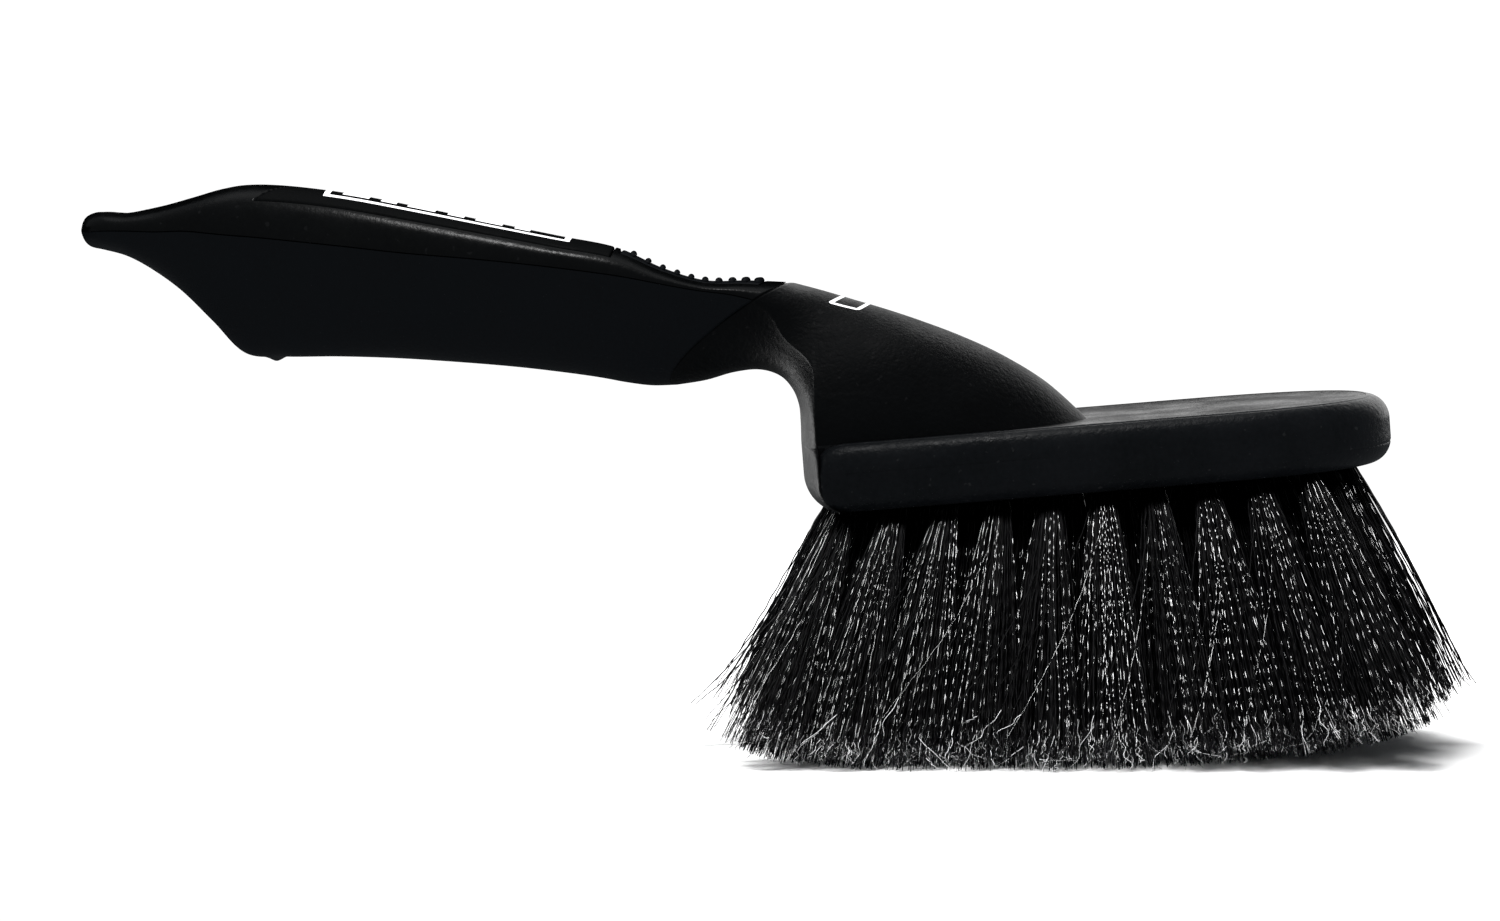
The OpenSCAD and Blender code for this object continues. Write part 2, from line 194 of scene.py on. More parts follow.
def build(name, solids, materials, replaces=(), crease=40, body="head", indices=None):
    """One object from (points, faces) in millimetres. indices gives a material index for each face array."""
    points, faces = solids
    if volume(points, faces) < 0:
        faces = [f[:, ::-1] for f in faces]
    mesh = bpy.data.meshes.new(name)
    mesh.vertices.add(len(points))
    mesh.vertices.foreach_set("co", ((points + (HEAD_X, 0, FACE_Z)) / 1000).astype(np.float32).ravel())
    sizes = np.concatenate([np.full(len(f), f.shape[1]) for f in faces])
    loops = np.concatenate([f.ravel() for f in faces]).astype(np.int32)
    mesh.loops.add(len(loops))
    mesh.loops.foreach_set("vertex_index", loops)
    mesh.polygons.add(len(sizes))
    mesh.polygons.foreach_set("loop_start", (np.cumsum(sizes) - sizes).astype(np.int32))
    for m in materials:
        mesh.materials.append(m)
    if indices is not None:
        per_face = np.concatenate([np.full(len(f), k) for f, k in zip(faces, indices)])
        mesh.polygons.foreach_set("material_index", per_face.astype(np.int32))
    mesh.update(calc_edges=True)
    mesh.validate()
    mesh.shade_smooth()
    if crease:
        mesh.set_sharp_from_angle(angle=math.radians(crease))
    obj = added(name, mesh)
    if body:
        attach(obj, body)
    if replaces:
        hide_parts(*replaces)
    return obj


# ---------------------------------------------------------------- body sections
def catmull(table, us):
    """Rows of a station table at indices us, shaped (columns, *us.shape)."""
    us = np.asarray(us, float)
    i = np.clip(np.floor(us).astype(int), 0, len(table) - 2)
    f = (us - i)[..., None]
    a, b, c, d = (table[np.clip(i + k, 0, len(table) - 1)] for k in (-1, 0, 1, 2))
    square, cube = 2 * a - 5 * b + 4 * c - d, 3 * b - a - 3 * c + d
    row = 0.5 * (2 * b + (c - a) * f + square * f ** 2 + cube * f ** 3)
    return np.moveaxis(row, -1, 0)


def section(s, a, pinch=1.0):
    """y and share of the chord at angle a."""
    ca, sa = np.cos(a), np.sin(a)
    top = sa > -1e-9
    n = np.where(top, s[TOP_N], s[UNDER_N])
    across = np.sign(ca) * np.abs(ca) ** (2 / n)
    along = np.abs(sa) ** (2 / n)
    y = s[HALF] * across * np.where(top, 1, 1 - s[TAPER] * along ** pinch)
    return y, np.where(top, s[SHOULDER] + (1 - s[SHOULDER]) * along, s[SHOULDER] * (1 - along))


def chord(s):
    return np.hypot(s[TOP_X] - s[UNDER_X], s[TOP_Z] - s[UNDER_Z])


def place(s, y, t, inset=0.0):
    """Points of sections at y and at share t of the chord."""
    y = y * (1 - inset / s[HALF])
    t = 0.5 + (t - 0.5) * (1 - 2 * inset / chord(s))
    bow = s[BOW] * 2 * np.sqrt(np.clip(t * (1 - t), 0, None))
    x = s[UNDER_X] + (s[TOP_X] - s[UNDER_X]) * t - bow
    return np.stack(np.broadcast_arrays(x, y, s[UNDER_Z] + (s[TOP_Z] - s[UNDER_Z]) * t), -1)


def smooth_neck():
    """Neck rows at NECK_US. Widths and shoulders change slowly, so the fold beside the riser is one curve."""
    rows = catmull(NECK, NECK_US)
    reach = 131
    window = np.hanning(2 * reach + 1)
    for row in rows[HALF:BOW]:
        padded = np.pad(row, reach, mode="reflect", reflect_type="odd")
        row[:] = np.convolve(padded, window / window.sum(), mode="valid")
    return rows


NECK_US = np.linspace(0, len(NECK) - 1, 1000)
NECK_ROWS = smooth_neck()


def neck_at(us):
    return np.stack([np.interp(us, NECK_US, row) for row in NECK_ROWS])


def share_at(s, y):
    """Share of the chord of the top surface at sideways distance y."""
    rise = np.clip(1 - np.abs(y / s[HALF]) ** s[TOP_N], 0, 1) ** (1 / s[TOP_N])
    return s[SHOULDER] + (1 - s[SHOULDER]) * rise


FINE = np.linspace(0, SEAM, 2000)
CREST = catmull(HANDLE, FINE)
CREST_STEPS = np.hypot(np.diff(CREST[TOP_X]), np.diff(CREST[TOP_Z]))
CREST_MM = np.concatenate([[0], np.cumsum(CREST_STEPS)])


def u_at(x):
    """Handle station whose top is at x."""
    return np.interp(x, CREST[TOP_X], FINE)


def mm_at(u):
    """Length along the crest to station u."""
    return np.interp(u, FINE, CREST_MM)


INLAY_END = u_at(-35.7)
THUMB_FROM, THUMB_TO = u_at(-34.3), u_at(-3.6)


def from_shoulder(y, t, s):
    """Distance of each point of an open section from its nearer end."""
    step = np.hypot(np.diff(y, axis=1), np.diff(t * chord(s), axis=1))
    d = np.concatenate([np.zeros((len(y), 1)), np.cumsum(step, axis=1)], axis=1)
    return np.minimum(d, d[:, -1:] - d)


# ---------------------------------------------------------------- materials
def nodes_of(name):
    m = bpy.data.materials.new(name)
    m.use_nodes = True
    tree = m.node_tree
    return m, tree, tree.nodes["Principled BSDF"]


def noise(tree, scale, detail, rough=0.55):
    coords = tree.nodes.new("ShaderNodeTexCoord")
    node = tree.nodes.new("ShaderNodeTexNoise")
    node.inputs["Scale"].default_value = scale
    node.inputs["Detail"].default_value = detail
    node.inputs["Roughness"].default_value = rough
    tree.links.new(coords.outputs["Object"], node.inputs["Vector"])
    return node.outputs["Fac"]


def ranged(tree, value, low, high, start=0.3, end=0.7):
    """Value from start to end, spread over low to high."""
    node = tree.nodes.new("ShaderNodeMapRange")
    node.inputs["From Min"].default_value, node.inputs["From Max"].default_value = start, end
    node.inputs["To Min"].default_value, node.inputs["To Max"].default_value = low, high
    tree.links.new(value, node.inputs["Value"])
    return node.outputs["Result"]


def tinted(tree, value, dark, light):
    node = tree.nodes.new("ShaderNodeValToRGB")
    first, last = node.color_ramp.elements
    first.position, last.position = 0.3, 0.7
    first.color, last.color = (*dark, 1), (*light, 1)
    tree.links.new(value, node.inputs["Fac"])
    return node.outputs["Color"]


def scaled_sum(tree, value, factor, addend):
    """value * factor + addend."""
    node = tree.nodes.new("ShaderNodeMath")
    node.operation = "MULTIPLY_ADD"
    node.inputs[1].default_value = factor
    tree.links.new(value, node.inputs[0])
    tree.links.new(addend, node.inputs[2])
    return node.outputs[0]


def bumped(tree, height, depth, shader):
    node = tree.nodes.new("ShaderNodeBump")
    node.inputs["Strength"].default_value = 1.0
    node.inputs["Distance"].default_value = depth
    tree.links.new(height, node.inputs["Height"])
    tree.links.new(node.outputs["Normal"], shader.inputs["Normal"])


def moulded(name, dark, light, rough, grain, depth, specular=0.5, dust=0.0):
    """Moulded plastic or rubber: a fine grain, slow changes of tone and gloss, and specks of dust."""
    m, tree, shader = nodes_of(name)
    slow = noise(tree, 60, 4)
    fine = noise(tree, grain, 3, 0.6)
    colour = tinted(tree, scaled_sum(tree, fine, 0.6, ranged(tree, slow, 0.0, 0.4)), dark, light)
    if dust:
        specks = tree.nodes.new("ShaderNodeMix")
        specks.data_type = "RGBA"
        specks.inputs["B"].default_value = (dust, dust, 1.04 * dust, 1)
        scattered = ranged(tree, noise(tree, 620, 2, 0.4), 0, 1, 0.70, 0.76)
        tree.links.new(scattered, specks.inputs["Factor"])
        tree.links.new(colour, specks.inputs["A"])
        colour = specks.outputs["Result"]
    tree.links.new(colour, shader.inputs["Base Color"])
    gloss_change = scaled_sum(tree, fine, 0.5, ranged(tree, slow, 0.0, 0.5))
    tree.links.new(ranged(tree, gloss_change, *rough), shader.inputs["Roughness"])
    bumped(tree, fine, depth, shader)
    shader.inputs["Specular IOR Level"].default_value = specular
    return m


def filament(name, dark, light, rough, specular):
    """Nylon filaments: each has its own tone and gloss."""
    m, tree, shader = nodes_of(name)
    island = tree.nodes.new("ShaderNodeNewGeometry").outputs["Random Per Island"]
    tone = ranged(tree, island, 0, 1, start=0.4, end=1)
    tree.links.new(tinted(tree, tone, dark, light), shader.inputs["Base Color"])
    tree.links.new(ranged(tree, island, *rough, start=0, end=1), shader.inputs["Roughness"])
    shader.inputs["Specular IOR Level"].default_value = specular
    # fine crimps along the filament, nearly in step with its neighbours; a wave is 2 pi / 20 long at scale 1
    wave = tree.nodes.new("ShaderNodeTexWave")
    wave.bands_direction = "Z"
    wave.inputs["Scale"].default_value = 2 * math.pi / (20 * CRIMP / 1000)
    coords = tree.nodes.new("ShaderNodeTexCoord")
    tree.links.new(coords.outputs["Object"], wave.inputs["Vector"])
    phase = scaled_sum(tree, island, 3.4, ranged(tree, noise(tree, 45, 2), 0, 9))
    tree.links.new(phase, wave.inputs["Phase Offset"])
    bumped(tree, wave.outputs["Fac"], 0.00017, shader)
    return m


# name, darkest and lightest colour, range of roughness, scale of the grain, its depth in metres
satin = moulded("satin_plastic", (0.008, 0.009, 0.010), (0.016, 0.018, 0.020), (0.38, 0.58), 1000, 0.00022,
                specular=0.25, dust=0.05)
gloss = moulded("gloss_grip", (0.008, 0.009, 0.010), (0.018, 0.020, 0.021), (0.18, 0.30), 1000, 0.00005,
                specular=0.4, dust=0.05)
soft = moulded("soft_grip", (0.014, 0.018, 0.024), (0.026, 0.032, 0.040), (0.46, 0.70), 1000, 0.00022,
               specular=0.45)
inlay_m = moulded("inlay_plastic", (0.010, 0.011, 0.012), (0.022, 0.024, 0.025), (0.46, 0.64), 1000, 0.00015,
                  specular=0.15)
block_m = moulded("block_plastic", (0.006, 0.006, 0.007), (0.060, 0.060, 0.062), (0.30, 0.66), 1100, 0.00030,
                  dust=0.10)
rubber = moulded("bumper_rubber", (0.022, 0.026, 0.031), (0.044, 0.049, 0.057), (0.26, 0.42), 900, 0.00016,
                 specular=0.35, dust=0.12)
steel = moulded("staple_steel", (0.45, 0.45, 0.46), (0.62, 0.62, 0.63), (0.25, 0.4), 900, 0.00001)
steel.node_tree.nodes["Principled BSDF"].inputs["Metallic"].default_value = 1.0
print_m = moulded("print_white", (0.74, 0.74, 0.75), (0.86, 0.86, 0.87), (0.45, 0.6), 1800, 0.00002)
nylon = filament("nylon", (0.0006, 0.0006, 0.0008), (0.0022, 0.0022, 0.0025), (0.40, 0.55), 0.05)
nylon_shiny = filament("nylon_shiny", (0.001, 0.001, 0.0012), (0.003, 0.003, 0.0033), (0.08, 0.20), 0.8)
nylon_tip = filament("nylon_tip", (0.006, 0.006, 0.007), (0.80, 0.80, 0.81), (0.3, 0.5), 0.3)


def paint(node, m):
    """Gives a CAD node that stays its material."""
    obj = frame["nodes"][node]
    if not obj.material_slots:
        obj.data.materials.append(m)
    for s in obj.material_slots:
        s.material = m


paint("brush_block", block_m)
for k in range(len(ROWS)):
    paint(f"staples_row_{k + 1}", steel)


# ---------------------------------------------------------------- grip shells
def top_angles(s, half, n_top, n_side):
    """Angles over the top: close steps at the shoulders, even steps in y within half."""
    edge = np.minimum(half, 0.88 * s[HALF])
    y = edge * np.linspace(1, -1, n_top)[None, :]
    middle = np.arccos(np.clip(np.sign(y) * np.abs(y / s[HALF]) ** (s[TOP_N] / 2), -1, 1))
    side = middle[:, :1] * np.linspace(0, 1, n_side, endpoint=False)[None, :] ** 1.6
    return np.concatenate([side, middle, math.pi - side[:, ::-1]], axis=1)


def closing(us):
    """1 where the tail is solid, 0 where the shells are hollow."""
    return smoothstep((SPINE_FROM - us) / 0.5)[:, None]


def inlay_start(y):
    """Station of the inlay's rear edge: a shallow arrow that points forward."""
    return u_at(INLAY_REAR - INLAY_ARROW * np.minimum(np.abs(y) / INLAY_HALF, 1))


def thumb_start(y):
    """Station of the thumb rest's rear edge, which is straight."""
    return np.full_like(y, THUMB_FROM + 0.01)


def pocket_depth(u, y):
    """How far the upper shell is sunk for the inlay and the thumb rest."""
    def sink(u0, u1, half):
        inside = np.minimum(np.minimum(mm_at(u) - mm_at(u0), mm_at(u1) - mm_at(u)), half - np.abs(y))
        return POCKET * smoothstep((inside + 0.28) / 0.3)
    return np.maximum(sink(inlay_start(y), INLAY_END, INLAY_HALF), sink(THUMB_FROM, THUMB_TO, THUMB_HALF))


def hole_cutter():
    """Spool with flared ends for the hang hole."""
    half_len, flare, flare_from, flare_len = 9, 1.5, 2.9, 2.6
    z = np.linspace(-half_len, half_len, 49)
    r = HANG_R + flare * smoothstep((np.abs(z) - flare_from) / flare_len) ** 1.5
    a = np.linspace(0, 2 * math.pi, 64, endpoint=False)
    x, y, z = np.broadcast_arrays(r[:, None] * np.cos(a), r[:, None] * np.sin(a), z[:, None])
    c, s = math.cos(math.radians(HANG_TILT)), math.sin(math.radians(HANG_TILT))
    return loft(np.stack([HANG_X + x * c + z * s, y, HANG_Z + z * c - x * s], -1))


def drilled(obj, cutter):
    cut = obj.modifiers.new("hole", "BOOLEAN")
    cut.operation, cut.solver, cut.object = "DIFFERENCE", "EXACT", cutter
    dg = bpy.context.evaluated_depsgraph_get()
    mesh = bpy.data.meshes.new_from_object(obj.evaluated_get(dg))
    obj.modifiers.clear()
    obj.data = mesh
    mesh.shade_smooth()
    mesh.set_sharp_from_angle(angle=math.radians(40))


def grip_stations():
    """Stations of the grip, close together at the tail, at the ends of the pockets and at the seam."""
    spans = ((0, 2, 0.05), (2, 6.8, 0.1), (6.8, 8.6, 0.03), (8.6, 12.9, 0.1), (12.9, 13.4, 0.02),
             (13.4, 16.2, 0.1), (16.2, 16.7, 0.03))
    runs = [np.arange(*span) for span in spans]
    runs += [np.linspace(16.75, SEAM - 0.12, 6), np.linspace(SEAM - 0.1, SEAM - SEAM_GAP, 8)]
    return np.concatenate(runs)


def seam_fall(us):
    """How far the shells fall off where they meet the neck."""
    return 0.25 * bell(mm_at(SEAM - SEAM_GAP) - mm_at(us[:, None]), 0.5)


def inner_wall(us, s, a, overlap):
    """Inside of a shell, backwards over its angles. It becomes a flat face where the tail is solid."""
    y, t = section(s, a[:, ::-1][:, ::3])
    solid = closing(us)[..., None]
    face = place(s, 0.97 * y, s[SHOULDER] + overlap / chord(s) + 0 * y)
    return place(s, y, t, SHELL_T) * (1 - solid) + face * solid


def upper_shell(us, s):
    """Outside from +Y over the top to -Y, then the inside back."""
    a = top_angles(s, 12.5, 95, 20)
    y, t = section(s, a)
    edge, end = bell(from_shoulder(y, t, s), EDGE_WIDTH), seam_fall(us)
    sunk = pocket_depth(us[:, None], y) - 0.08 * edge + end
    outside = place(s, y * (1 - (0.14 * edge + end) / s[HALF]), t - sunk / chord(s))
    return loft(np.concatenate([outside, inner_wall(us, s, a, 0.01)], axis=1))


def lower_shell(us, s):
    """Outside from -Y under to +Y, then the inside back. It has a small nub near its rear corner."""
    s = s.copy()
    s[SHOULDER] -= 0.12 / chord(s)
    q = np.linspace(0, 1, 60) ** 1.3 * math.pi / 2
    a = np.concatenate([-math.pi + q, -q[-2::-1]])[None, :]
    y, t = section(s, a)
    edge, end = bell(from_shoulder(y, t, s), EDGE_WIDTH), seam_fall(us)
    nub = smoothstep(1 - np.abs((s[UNDER_X] + 110.2) / 2.6)) * bell(y, 3.2) * (t < 0.3)
    outside = place(s, y * (1 - (0.16 * edge + end) / s[HALF]), t - (0.05 * edge + nub) / chord(s))
    return loft(np.concatenate([outside, inner_wall(us, s, a, 0.14)], axis=1))


def grip_shells():
    us = grip_stations()
    s = catmull(HANDLE, us[:, None])
    top = build("grip_upper", upper_shell(us, s), [gloss], ["grip_upper_shell"])
    low = build("grip_lower", lower_shell(us, s), [soft], ["grip_lower_shell"])
    cutter = build("cutter", hole_cutter(), [gloss], body=None)
    bpy.context.view_layer.update()
    for obj in (top, low):
        drilled(obj, cutter)
    bpy.data.objects.remove(cutter)


# ---------------------------------------------------------------- inlay, printing and thumb rest
def on_top(u, y, depth):
    s = catmull(HANDLE, u)
    return place(s, y, share_at(s, y) - depth / chord(s))


def lifted(points, lift):
    return points + (0, 0, lift)


def grip_surface(x, y, lift):
    return lifted(on_top(u_at(x), y, 0), lift)


def neck_surface(x, y, lift):
    s = neck_at(np.interp(x, NECK_ROWS[TOP_X], NECK_US))
    return lifted(place(s, y, share_at(s, y)), lift)


def pad(start, u1, half, rows, cols):
    """Pad in a pocket, from station start(y) to u1: its top is flush and rounded at the rim."""
    f, g = np.linspace(0, 1, rows)[:, None], np.linspace(1, -1, cols)[None, :]
    y = half * (0.4 * np.sin(g * math.pi / 2) + 0.6 * g) + 0 * f
    u0 = start(y)
    u = u0 + (0.35 * smoothstep(f) + 0.65 * f) * (u1 - u0)
    rim = np.minimum(np.minimum(mm_at(u) - mm_at(u0), mm_at(u1) - mm_at(u)), half - np.abs(y))
    fall = PAD_FALL * (1 - np.sqrt(1 - np.clip(1 - rim / PAD_RIM, 0, 1) ** 2))
    top, under = on_top(u, y, fall), on_top(u, y, POCKET - 0.1)
    return loft(np.concatenate([top, under[:, ::-1]], axis=1))


def outline(path, width, surface):
    """Printed line of that width round a closed path on a surface, as a thin solid."""
    d = np.roll(path, -1, 0) - np.roll(path, 1, 0)
    d /= np.linalg.norm(d, axis=1)[:, None]
    side = np.stack([-d[:, 1], d[:, 0]], -1) * width / 2
    across = np.linspace(-1, 1, 4)
    ring = [surface(*(path + side * o).T, PRINT_TOP) for o in across]
    ring += [surface(*(path + side * o).T, PRINT_UNDER) for o in across[::-1]]
    ring = np.stack(ring, 1)
    rows, n = ring.shape[:2]
    return ring.reshape(-1, 3), [grid(rows + 1, n) % (rows * n)]


def rounded_box(x0, x1, half, radius, step):
    """Points round a rectangle with rounded corners."""
    near, far, left, right = x0 + radius, x1 - radius, -half + radius, half - radius
    corners = []
    for cx, cy, a0 in ((far, right, 0), (near, right, 90), (near, left, 180), (far, left, 270)):
        a = np.radians(np.linspace(a0, a0 + 90, 9))
        corners.append(np.stack([cx + radius * np.cos(a), cy + radius * np.sin(a)], -1))
    corners = np.concatenate(corners)
    points = []
    for p, q in zip(corners, np.roll(corners, -1, 0)):
        n = max(1, int(np.hypot(*(q - p)) / step))
        points.append(p + (q - p) * np.arange(n)[:, None] / n)
    return np.concatenate(points)


def bar(x0, x1, y0, y1):
    """Printed bar on the grip, as a thin solid."""
    x, y = np.linspace(x0, x1, max(3, int(x1 - x0) + 2)), np.linspace(y1, y0, max(4, int(2 * (y1 - y0))))
    x, y = np.meshgrid(x, y, indexing="ij")
    under = grip_surface(x, y, PRINT_UNDER)
    return loft(np.concatenate([grip_surface(x, y, PRINT_TOP), under[:, ::-1]], axis=1))


def printed_lines():
    """Frame with plain bars on the inlay, and a small frame on the neck."""
    rear, front, half, line_x, line_y, bar_half = -95.0, -46.0, 8.3, 1.2, 1.4, 5.0
    prints = [bar(rear, front, y, y + line_y) for y in (-half, half - line_y)]
    prints += [bar(x, x + line_x, -half, half) for x in (rear - line_x, front)]
    for x, length in ((-92.5, 5.5), (-84.5, 3.2), (-79.0, 5.8), (-70.6, 3.4), (-64.8, 5.6), (-56.6, 3.2)):
        prints.append(bar(x, x + length, -bar_half, bar_half))
    sign = rounded_box(12.3, 17.5, half=8.6, radius=0.4, step=0.25)
    prints.append(outline(sign, 0.8, neck_surface))
    return joined(prints)


def rib(x):
    """Rib across the thumb rest, with round ends."""
    half_w, height, sunk, end = 0.68, 0.78, 0.3, 1.2
    f = np.linspace(-1, 1, 41)
    y = RIB_HALF * np.sign(f) * (1 - (1 - np.abs(f)) ** 1.6)
    past = np.clip((np.abs(y) - RIB_HALF + end) / end, 0, 1)
    rise = np.sqrt(np.clip(1 - past ** 2, 0.002, 1))[:, None]
    a = np.linspace(0, 2 * math.pi, 20, endpoint=False)
    along = half_w * np.cos(a) * (0.4 + 0.6 * rise)
    up = np.where(np.sin(a) > 0, height, sunk) * np.sin(a) * rise
    base = grip_surface(np.full_like(y, x), y, 0.0)[:, None, :]
    return loft(base + np.stack([along, 0 * along, up], -1))


def grip_details():
    inlay = pad(inlay_start, INLAY_END - 0.01, INLAY_HALF - PAD_GAP, rows=260, cols=60)
    build("inlay", inlay, [inlay_m], ["label_inlay"])
    build("printed_lines", printed_lines(), [print_m])
    thumb = pad(thumb_start, THUMB_TO - 0.01, THUMB_HALF - PAD_GAP, rows=90, cols=40)
    ribs = [rib(x) for x in np.linspace(FIRST_RIB_X, LAST_RIB_X, RIBS)]
    build("thumb_pad", joined([thumb, *ribs]), [soft], ["thumb_rest"])


# ---------------------------------------------------------------- neck, riser and heel
def dimple(x, y, z):
    """Depth of the shallow square dimple with round corners on each flank of the riser."""
    mid_x, mid_z, half_x, half_z, corner, depth, edge = 10.5, 30.6, 4.4, 4.7, 1.4, 0.13, 0.9
    dx, dz = np.abs(x - mid_x) - half_x, np.abs(z - mid_z) - half_z
    outside = np.hypot(np.maximum(dx, 0), np.maximum(dz, 0)) + np.minimum(np.maximum(dx, dz), 0) - corner
    return depth * (1 - smoothstep((outside + edge) / (2 * edge))) * (np.abs(y) > 8)


def neck():
    """Spine inside the grip, neck and riser, in one piece."""
    q = np.linspace(0, 1, 64) ** 1.4 * math.pi / 2
    over, under = np.concatenate([q, math.pi - q[-2::-1]]), np.concatenate([-math.pi + q[1:], -q[-2:0:-1]])
    a = np.concatenate([over, under])[None, :]
    us = np.concatenate([np.linspace(0, 0.15, 10, endpoint=False), np.linspace(0.15, len(NECK) - 1, 225)])
    s = neck_at(us[:, None])
    y, t = section(s, a, pinch=0.75)
    lip = 0.25 * bell(us[:, None] * 9, 0.5)
    outside = place(s, y * (1 - lip / s[HALF]), 0.5 + (t - 0.5) * (1 - 2 * lip / chord(s)))
    x, y, z = np.moveaxis(outside, -1, 0)
    y -= np.sign(y) * dimple(x, y, z)
    s = catmull(HANDLE, np.linspace(SPINE_FROM, SEAM, 40)[:, None])
    spine = place(s, *section(s, a), SHELL_T + 0.2)
    build("neck", loft(np.concatenate([spine, outside])), [satin], ["body_core"], crease=50)


def heel():
    """Rear wall of the head, as plan rings from the bottom to the top."""
    half_w, rear, foot, front_x, bow, bow_n = 31.2, 0.8, 6, 3.62, 2.75, 2.2
    corner_w, corner_h = 3.8, 4.4
    corner_z = BLOCK_T - corner_h
    z = np.concatenate([np.linspace(0, foot, 26), np.linspace(foot + 0.4, BLOCK_T, 24)])[:, None]
    corner = np.sqrt(np.clip(1 - ((z - corner_z) / corner_h) ** 2, 0, 1))
    half = np.where(z < corner_z, half_w, half_w - corner_w * (1 - corner))
    rear = rear + foot * (1 - np.sqrt(1 - np.clip(1 - z / foot, 0, 1) ** 2))
    f = np.sin(np.linspace(-math.pi / 2, math.pi / 2, 91))[None, :]
    back = np.minimum(rear + bow * (1 - np.clip(1 - np.abs(f) ** bow_n, 0, 1) ** (1 / bow_n)), 7.0)
    back = np.stack(np.broadcast_arrays(back, half * f, z), -1)
    # a tongue goes forward between the ends of the bumper
    plan = ((front_x, half_w), (front_x, 27.5), (5.5, 27.25), (5.5, -27.25), (front_x, -27.5))
    x, y = np.array(plan).T
    x, y = x + np.maximum(rear + bow + 0.1 - front_x, 0), np.clip(y, -half, half)
    front = np.stack(np.broadcast_arrays(x, y, z), -1)
    rings = np.concatenate([back, front], axis=1)
    build("heel", loft(rings), [satin], crease=50)


# ---------------------------------------------------------------- bumper and deck
NOSE_ANGLES = np.linspace(0, math.pi / 2, 80)
REAR_LEN = 9        # length of the rear end, which has closer points
FLANK_REAR = BUMPER_REAR + REAR_LEN * np.linspace(0, 1, 40, endpoint=False) ** 1.5
FLANK_X = np.concatenate([FLANK_REAR, np.arange(BUMPER_REAR + REAR_LEN, STRAIGHT, 1.0)])


def half_plan(inset):
    """x and y round half of the head, from the rear to the tip of the nose. inset may differ along it."""
    inset = np.broadcast_to(inset, len(FLANK_X) + len(NOSE_ANGLES))
    flank, nose = inset[:len(FLANK_X)], inset[len(FLANK_X):]
    x = STRAIGHT + (HEAD_LEN - nose - STRAIGHT) * np.sin(NOSE_ANGLES) ** (2 / PLAN_N)
    y = (HEAD_W / 2 - nose) * np.clip(np.cos(NOSE_ANGLES), 0, 1) ** (2 / PLAN_N)
    return np.concatenate([FLANK_X, x]), np.concatenate([HEAD_W / 2 - flank, y])


def bumper_profile():
    """Inset and height from the lower lip up the outside and down the inside, and 1 for the outside."""
    low, high = np.linspace(0, math.pi / 2, 50), np.linspace(0, math.pi / 2, 44)
    flank = np.linspace(BUMPER_ROUND, BUMPER_TOP - BUMPER_ROUND, 30)[1:-1]
    inside = np.linspace(BUMPER_TOP - 0.5, 2, 6)
    inset = [BUMPER_T * (1 - np.sin(low)), 0 * flank, BUMPER_T * (1 - np.cos(high)), BUMPER_T + 0 * inside]
    z = [BUMPER_ROUND * (1 - np.cos(low)), flank, BUMPER_TOP - BUMPER_ROUND * (1 - np.sin(high)), inside]
    outer = [1 + 0 * low, 1 + 0 * flank, 1 + 0 * high, 0 * inside]
    return (np.concatenate(parts) for parts in (inset, z, outer))


def bumper_line(inset, z, outer):
    """Line along half of the bumper at one place of its profile."""
    x = half_plan(0)[0]
    # parting lines and short witness marks are shallow grooves in the outside
    upper_z, lower_z, line_w, mark_w, groove_depth = 8.4, 4.3, 0.17, 0.35, 0.15
    upper_line = bell(z - upper_z, line_w) * smoothstep((x - 7) / 2) * smoothstep((53 - x) / 1.5)
    lower_line = bell(z - lower_z, line_w) * smoothstep((x - 59) / 3)
    marks = (bell(x - 52.4, mark_w) + bell(x - 76, mark_w)) * (5 < z < 9.4)
    groove = groove_depth * np.clip(upper_line + lower_line + 0.7 * marks, 0, 1)
    lip = 0.25 * bell(x - BUMPER_REAR - 1.5, 0.4) + 0.5 * smoothstep(1 - (x - BUMPER_REAR) / 0.6)
    x, y = half_plan(inset + outer * (groove + lip * (1 - inset / BUMPER_T)))
    # the rear end leans with the heel below, and its upper corner is round
    round_r, foot_shift, rim_inset, rim_depth = 6, 3.1, 3.4, 0.16
    ramp = np.clip(1 - (x - BUMPER_REAR) / REAR_LEN, 0, 1)
    foot = foot_shift * (1 - math.sqrt(1 - max(0.0, 1 - z / round_r) ** 2))
    near = np.clip(x - BUMPER_REAR, 0, round_r)
    drop = round_r - np.sqrt(round_r ** 2 - (round_r - near) ** 2)
    rim = rim_depth * bell(inset - rim_inset, 0.22) * outer * (z > 9)
    height = z - 0.55 * drop * smoothstep((z - 4) / 10) - rim
    return np.stack([x + foot * ramp, y, height], -1)


def bumper():
    rings = np.stack([bumper_line(*at) for at in zip(*bumper_profile())], 1)
    rings = np.concatenate([rings, rings[-2::-1] * (1, -1, 1)])
    build("bumper_skin", loft(rings), [rubber], ["bumper"], crease=45)


def deck():
    """Top of the block, dished up to the bumper."""
    rings = []
    for inset, z in ((4.7, 13.2), (4.7, 14.3), (5.3, 14.22), (6.2, 14.05), (7.4, 13.93), (9.5, 13.86)):
        x, y = half_plan(inset)
        half = np.stack([x, y, np.full_like(x, z)], -1)
        rings.append(np.concatenate([half, half[::-1] * (1, -1, 1)]))
    build("deck", loft(rings), [block_m], crease=50)


